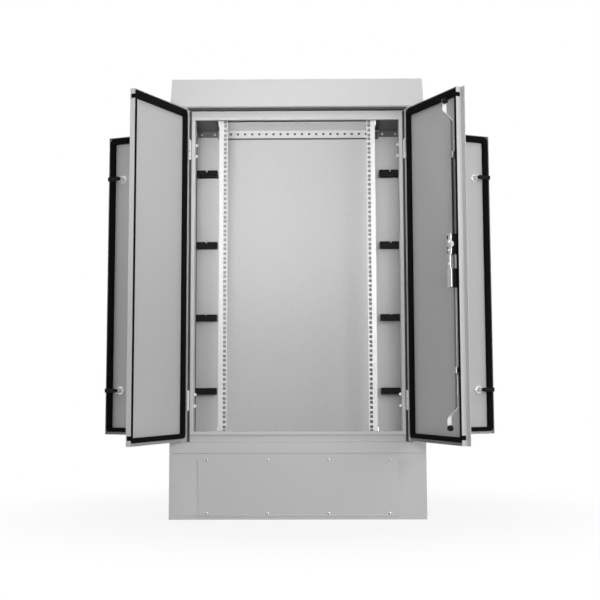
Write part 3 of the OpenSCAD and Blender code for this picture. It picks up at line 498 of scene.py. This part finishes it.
def extruded(shape, outline, path):
    end = shape.faces.new([shape.verts.new(point) for point in outline])
    pulled = bmesh.ops.extrude_face_region(shape, geom=[end], use_keep_orig=True)["geom"]
    far = [v for v in pulled if isinstance(v, bmesh.types.BMVert)]
    bmesh.ops.translate(shape, vec=path, verts=far)


def cut(shape, place, direction, clear):
    bmesh.ops.bisect_plane(shape, geom=shape.verts[:] + shape.edges[:] + shape.faces[:],
                           plane_co=place, plane_no=direction, clear_outer=clear)


print("shape helpers ready")

# %% Sheet metal
sheet_radius = {
    "plinth_frame": 0.8, "plinth_cover": 1.3, "left_side_rim": 0.6, "right_side_rim": 0.6, "roof_cap": 0.8,
    "left_door": 0.5, "right_door": 0.5, "left_side_door": 0.5, "right_side_door": 0.5,
    "overlap_strip": 0.6, "rail_feet": 0.6}
for node, radius in sheet_radius.items():
    soften(node, radius)
print("sheet pieces:", len(sheet_radius))

# %% [markdown]
# ### Lips behind the rails
#
# A rack rail is a folded channel: behind the row of square holes lies its second lip, and so the holes look
# dark although the rear wall is bright. The lip takes a much darker zinc than the rail, as painted shade for
# the shade it lies in. It is one long strip per rail, a block drawn out to size whose edges are broken with a
# bevel.

# %% Lips of the rails
LIP_X = 0.239
LIP_WIDE, LIP_THICK = 22 * MM, 2 * MM
lips = bmesh.new()
for rail, side in (("left_rail", -1), ("right_rail", 1)):
    low, high = (Vector(c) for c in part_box(rail))
    middle = (side * LIP_X, high.y - LIP_THICK / 2, (low.z + high.z) / 2)
    block(lips, (LIP_WIDE, LIP_THICK, high.z - low.z), middle)
round_all(lips, 0.4 * MM)
# The lips' dark zinc is painted shade.
new_piece(lips, "rail_lips", finishes["lip_painted_shade"], "cabinet")
print("lips: %.0f mm long" % ((high.z - low.z) / MM))

# %% [markdown]
# ### The joint on the plinth and the painted shade of the recess
#
# Body and plinth are two weldments bolted together, and the paint does not bridge them: a dark line of a
# couple of millimetres stays between. The outer walls are therefore drawn up by that much at their foot.
# The rear wall is bright sheet inside; every face of it that does not look to the front takes the grey paint.
# A dark line also runs round the door recess, and it is painted shade. A near-black rubber profile on the
# head of the recess, under the edge of the roof, stands for the shadow there. Flat strips of the same rubber
# in the channels beside the sealing rim stand for the shade in those channels. The section of the profile is
# drawn with a few points and extruded across the opening; the strips are bevelled blocks.

# %% Joint on the plinth
JOINT = 2.4 * MM
FOOT_BAND = 0.2 * MM
WALL_RADIUS = 0.6 * MM


def wall_above_joint(node):
    shape = copy_of(node)
    foot = min(v.co.z for v in shape.verts)
    for vert in shape.verts:
        if vert.co.z < foot + FOOT_BAND:
            vert.co.z += JOINT
    round_all(shape, WALL_RADIUS)
    return hand_over(shape, node + "_rounded", node)


for node in ("front_frame", "left_side_frame", "right_side_frame"):
    wall_above_joint(node)
rear = wall_above_joint("rear_wall").data
rear.materials.append(finishes["grey_paint"])
for face in rear.polygons:
    face.material_index = int(face.normal.y > -FACING)
print("joint: %.1f mm" % (JOINT / MM))

# %% Painted shade round the door recess
HALF_RECESS = 0.360
RIM_OUTER = 0.339
DOOR_GAP = 4 * MM
SEAT_DEPTH = 22 * MM
END_GAP = 8 * MM
SHADE_PROUD, SHADE_CLEAR, SHADE_INNER, SHADE_LIP = 3 * MM, 0.1 * MM, 20 * MM, 4.5 * MM
STRIP_WIDE, STRIP_THICK, STRIP_OFF = 11 * MM, 1.4 * MM, 5.7 * MM
head_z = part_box("left_door")[1][2] + DOOR_GAP
sill_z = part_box("left_door")[0][2] - DOOR_GAP
front_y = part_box("front_frame")[0][1]
outer_y, clip_y, inner_y = front_y - SHADE_PROUD, front_y - SHADE_CLEAR, front_y + SHADE_INNER
under_z, clip_z, lip_z = head_z - SHADE_PROUD, head_z - SHADE_CLEAR, head_z + SHADE_LIP
section = [(outer_y, under_z), (inner_y, under_z), (inner_y, clip_z),
           (clip_y, clip_z), (clip_y, lip_z), (outer_y, lip_z)]
recess_shade = bmesh.new()
outline = [(END_GAP - HALF_RECESS, y, z) for y, z in section]
extruded(recess_shade, outline, (2 * (HALF_RECESS - END_GAP), 0, 0))
strip_size = (STRIP_WIDE, STRIP_THICK, under_z - sill_z - 2 * MM)
strip_y = front_y + SEAT_DEPTH - STRIP_THICK / 2
for side in (1, -1):
    block(recess_shade, strip_size, (side * (RIM_OUTER + STRIP_OFF), strip_y, (under_z + sill_z) / 2))
bmesh.ops.recalc_face_normals(recess_shade, faces=recess_shade.faces)
round_all(recess_shade, 0.5 * MM)
# Near-black profile and strips: painted shade under the roof and in the channels beside the rim.
new_piece(recess_shade, "recess_painted_shade", finishes["painted_shade_rubber"], "cabinet")
print("recess: %.0f mm high" % ((head_z - sill_z) / MM))

# %% [markdown]
# ### Foam, mouldings and small hardware
#
# The foam bead of a gasket is poured, so its upper edges are very round. At the head of each leaf the black
# bead is drawn up to the folded edge. The cable rings and the gearbox are mouldings, the hinges and levers
# are stamped or cast: each kind has its own radius.

# %% Gaskets
HEAD_RAISE = 6.5 * MM
HEAD_RAISE_FROM = 10 * MM
BEAD_RADIUS = 3 * MM


def poured_gasket(node):
    shape = copy_of(node)
    head = max(v.co.z for v in shape.verts)
    for vert in shape.verts:
        share = max(0.0, 1.0 - (head - vert.co.z) / HEAD_RAISE_FROM)
        vert.co.z += HEAD_RAISE * share
    round_all(shape, BEAD_RADIUS, 3)
    return hand_over(shape, node + "_rounded", node)


gaskets = ("left_door_gasket", "right_door_gasket", "left_side_gasket", "right_side_gasket")
for node in gaskets:
    poured_gasket(node)
print("gaskets:", len(gaskets))

# %% Foam, mouldings and hardware
LARGE = 2
small_radius = {
    "left_door_seal_blocks": 1.0, "right_door_seal_blocks": 1.0,
    "left_cable_rings": 1.2, "right_cable_rings": 1.2,
    "hinge_frame_leaves": 0.4, "left_door_hinge_leaves": 0.4, "right_door_hinge_leaves": 0.4,
    "left_side_hinge_leaves": 0.4, "right_side_hinge_leaves": 0.4, "hinge_pins": 0.5,
    "lock_gearbox": 0.8, "gearbox_plate": 0.5, "handle_bracket": 0.8, "rod_guides": 0.8,
    "handle_escutcheon": 1.0, "handle_lever": 3.5, "handle_spindle": 0.4,
    "left_upper_cam": 0.8, "left_lower_cam": 0.8, "right_upper_cam": 0.8, "right_lower_cam": 0.8,
    "left_side_lock_housings": 0.6, "right_side_lock_housings": 0.6}
for node, radius in small_radius.items():
    soften(node, radius, 3 if radius > LARGE else 2)
print("rounded pieces:", len(small_radius))

# %% [markdown]
# ### Screws, nuts and bolts
#
# The cover of the plinth and the corner angles are held by pan-head screws with a round driver socket, the
# hinges by hexagon nuts on weld studs, and body and plinth by hexagon bolts. A lathe would turn the screw
# heads, so their half profile is spun about its axis; a hexagon is a six-sided cylinder whose corners are
# chamfered. The helper that follows finds the loose solids of one node, so that every head lands where the
# solid it stands for is.

# %% Loose solids of a node
def loose_boxes(node):
    shape = copy_of(node)
    waiting = set(shape.verts)
    boxes = []
    while waiting:
        reached = [waiting.pop()]
        for vert in reached:
            near = [edge.other_vert(vert) for edge in vert.link_edges]
            reached += [v for v in near if v in waiting]
            waiting.difference_update(near)
        corners = [[pick(v.co[i] for v in reached) for i in range(3)] for pick in (min, max)]
        boxes.append((Vector(corners[0]), Vector(corners[1])))
    shape.free()
    return boxes


print("cover screws:", len(loose_boxes("plinth_cover_screws")))

# %% A turned piece
AROUND = 32


def turned(shape, profile, place, axis):
    verts = [shape.verts.new((radius, 0.0, height)) for radius, height in profile]
    edges = [shape.edges.new(pair) for pair in zip(verts, verts[1:])]
    bmesh.ops.spin(shape, geom=verts + edges, cent=(0, 0, 0), axis=(0, 0, 1), angle=2 * math.pi,
                   steps=AROUND, use_merge=True)
    mine = [v for v in shape.verts if not v.tag]
    bmesh.ops.remove_doubles(shape, verts=mine, dist=SAME_POINT)
    mine = [v for v in shape.verts if not v.tag]
    bmesh.ops.recalc_face_normals(shape, faces=list({f for v in mine for f in v.link_faces}))
    turn = Vector((0, 0, 1)).rotation_difference(axis).to_matrix().to_4x4()
    bmesh.ops.transform(shape, matrix=Matrix.Translation(place) @ turn, verts=mine)
    for vert in mine:
        vert.tag = True


def pan_head(radius, height, socket, shank, length):
    rim = [(radius * math.cos(t), height * (0.35 + 0.65 * math.sin(t))) for t in (0.0, 0.35, 0.7, 1.05)]
    return ([(0.0, -length), (shank, -length), (shank, 0.0), (radius * 0.96, 0.0)] + rim
            + [(socket * 1.12, height), (socket, height * 0.88), (socket, height * 0.3), (0.0, height * 0.2)])


print("points of a pan-head profile:", len(pan_head(5.0, 2.5, 2.0, 2.0, 10.0)))

# %% Pan-head screws of the plinth cover and the corner angles
SOCKET = 0.42
SOCKET_SHADE = 0.43
TO_FRONT = Vector((0, -1, 0))


def screws(node, name, head, shank):
    shape = bmesh.new()
    for low, high in loose_boxes(node):
        middle = (low + high) / 2
        radius = (high.z - low.z) / 2
        start = len(shape.faces)
        profile = pan_head(radius, head, radius * SOCKET, shank, (high.y - low.y) - head)
        turned(shape, profile, (middle.x, low.y + head, middle.z), TO_FRONT)
        shape.faces.ensure_lookup_table()
        # Faces of the driver socket take black steel: painted shade in the socket.
        for face in shape.faces[start:]:
            away = face.calc_center_median() - middle
            face.material_index = int(math.hypot(away.x, away.z) < radius * SOCKET_SHADE)
    piece = hand_over(shape, name, node)
    piece.data.materials.append(finishes["black_steel"])
    return piece


screws("plinth_cover_screws", "cover_pan_heads", 2.5 * MM, 2.2 * MM)
screws("corner_angle_screws", "angle_pan_heads", 2.6 * MM, 2.0 * MM)
print("pan heads ready")

# %% Hexagon nuts and bolts
for node, radius in {"hinge_nuts": 0.9, "body_bolts": 1.2, "roof_screws": 1.0}.items():
    soften(node, radius, 1)
print("hexagons chamfered")

# %% [markdown]
# ### Rollers
#
# Each rod ends in a moulded roller on a short axle, which runs up on a strike when the door is locked. The
# edges of such a roller are generously rounded. It could be turned from a profile, but its solid is already
# round, so its two rims only need a bevel.

# %% Rollers
for node in ("upper_roller", "lower_roller"):
    soften(node, 1.6, 3)
print("rollers rounded")

# %% [markdown]
# ### Rear angle and perforated bar
#
# Under the ceiling a near-black angle runs along the rear wall from corner to corner; the two screws at each
# end hold it. Its dark colour is painted shade, standing for the shade under the ceiling. Between the rails a
# bright perforated bar hides it. The copy of the two corner angles gets a strip that joins them, and this
# near-black strip behind the bar is painted shade too: it makes the holes of the bar look black and leaves a
# thin dark line under it. The bar is cut back a little so that its ends stay behind the rails. Two more
# near-black angles stand in the rear corners, and of these only a narrow edge can be seen past the front
# frame. The underside of the bar's leg is seen and lit at a flat angle, where even a fine bump turns into
# dark specks, so its finish has no bump. That underside also takes a brighter, more metallic zinc than the
# front of the bar, as painted light for the light that reaches it from below.

# %% Rear angle
JOIN_SHORT, JOIN_THICK, JOIN_BACK = 4 * MM, 2 * MM, 1.2 * MM
JOIN_IN = 0.075
bar_low, bar_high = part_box("rear_bar")
angle_low, angle_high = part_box("corner_angles")
join_low, join_high = bar_low[2] - JOIN_SHORT, angle_high[2] - JOIN_SHORT
join_size = ((angle_high[0] - JOIN_IN) * 2, JOIN_THICK, join_high - join_low)
# The corner angles and the strip that joins them are near-black: painted shade under the ceiling and behind
# the bar.
angle = copy_of("corner_angles")
block(angle, join_size, (0, angle_high[1] - JOIN_BACK, (join_low + join_high) / 2))
round_all(angle, 0.5 * MM)
hand_over(angle, "rear_angle_painted_shade", "corner_angles")
print("joining strip: %.0f mm long" % (join_size[0] / MM))

# %% Angles in the rear corners
CORNER_X = 0.3725
FLOOR_GAP = 6 * MM
# Points of the section, in millimetres from the corner: across, then towards the front.
L_SECTION = [(0, 0), (17, 0), (17, 2), (2, 2), (2, 14), (0, 14)]
floor_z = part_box("front_frame")[0][2] + FLOOR_GAP
corners = bmesh.new()
for side in (1, -1):
    flat = [(side * (CORNER_X - across * MM), angle_high[1] - deep * MM) for across, deep in L_SECTION]
    extruded(corners, [(x, y, floor_z) for x, y in flat], (0, 0, angle_low[2] - floor_z))
bmesh.ops.recalc_face_normals(corners, faces=corners.faces)
round_all(corners, 0.4 * MM)
new_piece(corners, "rear_corner_angles", finishes["dark_steel"], "cabinet")
print("corner angles: %.0f mm high" % ((angle_low[2] - floor_z) / MM))

# %% Perforated bar
BAR_END = 0.2625
bar = copy_of("rear_bar")
for side in (1, -1):
    cut(bar, (side * BAR_END, 0, 0), (side, 0, 0), True)
    bmesh.ops.holes_fill(bar, edges=[e for e in bar.edges if e.is_boundary], sides=0)
bmesh.ops.recalc_face_normals(bar, faces=bar.faces)
round_all(bar, 0.3 * MM)
bar.normal_update()
# Faces that look down take the brighter zinc: painted light on the underside of the leg.
for face in bar.faces:
    face.material_index = int(face.normal.z < -FACING)
hand_over(bar, "perforated_bar", "rear_bar").data.materials.append(finishes["leg_zinc_painted_light"])
print("bar: %.0f mm long" % (2 * BAR_END / MM), "z", [round(v[2], 3) for v in (bar_low, bar_high)])

# %% [markdown]
# ### Lock rods
#
# The rods are flat zinc-plated steel, duller than the hinges. Their light and shade are painted by face
# direction. Above the upper rod's guide, and all along the lower rod, faces that look along the leaf (the
# edges and the twisted ends) take a light zinc as painted light, and the other faces take a dark zinc as
# painted shade. Below the guide, the faces along the leaf take the dark zinc and the flat is painted black,
# as shade. The pin that carries the roller is black. Each face takes the finish that belongs to its place and
# direction, which a bmesh holds as a material index.

# %% Lock rods
# Directions of the right leaf, which stands open at 112 degrees: along it, and out of its inner face.
ALONG = Vector((0.3746, -0.9272, 0.0))
INWARD = Vector((-0.9272, -0.3746, 0.0))
PIN_HALF = 8 * MM
PIN_FROM = 3.5 * MM
PAINTED_SHADE, PAINTED_LIGHT, BLACK = range(3)


def lock_rod(node, roller, shaded_below=0.0):
    low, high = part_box(roller)
    middle = (Vector(low) + Vector(high)) / 2
    shape = copy_of(node)
    round_all(shape, 0.8 * MM)
    cut(shape, (0, 0, shaded_below), (0, 0, 1), False)
    shape.normal_update()
    for face in shape.faces:
        away = face.calc_center_median() - middle
        below = away.z + middle.z < shaded_below
        # Light zinc, dark zinc and black by direction and height are painted light and shade; only the black
        # of the pin is its own colour.
        if abs(away.z) < PIN_HALF and away.dot(ALONG) > PIN_FROM:
            face.material_index = BLACK
        elif abs(face.normal.dot(ALONG)) > FACING:
            face.material_index = PAINTED_SHADE if below else PAINTED_LIGHT
        elif below:
            face.material_index = BLACK
    piece = hand_over(shape, node + "_rounded", node)
    piece.data.materials.append(finishes["rod_zinc_painted_light"])
    piece.data.materials.append(finishes["black_plastic"])
    return piece


lock_rod("upper_rod", "upper_roller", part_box("rod_guides")[1][2])
lock_rod("lower_rod", "lower_roller")
print("rods ready")

# %% [markdown]
# ### The face of the gearbox
#
# The plate of the gearbox has two dark windows and a half-round lug folded over its side. They are small
# pieces of their own: bevelled blocks for the windows, and half of a disc for the lug.

# %% Windows of the gearbox
HINGE = Vector((0.3545, -0.197, 0.0))
FACE_V = 29 * MM
WINDOW_IN = 20 * MM
WINDOW_WIDE, WINDOW_THICK = 6.5 * MM, 1.2 * MM
LEAF = Matrix.Translation(HINGE) @ Matrix((ALONG, INWARD, (0, 0, 1))).transposed().to_4x4()
case_low, case_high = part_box("lock_gearbox")
side_u = max((v.co - HINGE).dot(ALONG) for v in nodes["gearbox_plate"].data.vertices)
windows = bmesh.new()
for low_z, high_z in ((3.0 * MM, 22.0 * MM), (39.5 * MM, 56.0 * MM)):
    middle = (side_u - WINDOW_IN, FACE_V, case_low[2] + (low_z + high_z) / 2)
    block(windows, (WINDOW_WIDE, WINDOW_THICK, high_z - low_z), middle)
bmesh.ops.transform(windows, matrix=LEAF, verts=windows.verts)
bmesh.ops.recalc_face_normals(windows, faces=windows.faces)
round_all(windows, 0.3 * MM)
new_piece(windows, "gearbox_windows", finishes["black_plastic"], "right_leaf")
print("gearbox side at u = %.1f mm" % (side_u / MM))

# %% Lug of the gearbox
LUG_RADIUS, LUG_THICK = 9.4 * MM, 1.4 * MM
LUG_STEPS = 20
lug = bmesh.new()
lug_z = (case_low[2] + case_high[2]) / 2
turns = [math.pi * step / LUG_STEPS for step in range(LUG_STEPS + 1)]
outline = [(side_u, FACE_V - LUG_RADIUS * math.sin(t), lug_z + LUG_RADIUS * math.cos(t)) for t in turns]
extruded(lug, outline, (LUG_THICK, 0, 0))
bmesh.ops.transform(lug, matrix=LEAF, verts=lug.verts)
bmesh.ops.recalc_face_normals(lug, faces=lug.faces)
round_all(lug, 0.3 * MM)
new_piece(lug, "gearbox_lug", finishes["inner_sheet"], "right_leaf")
print("lug: %.1f mm radius" % (LUG_RADIUS / MM))
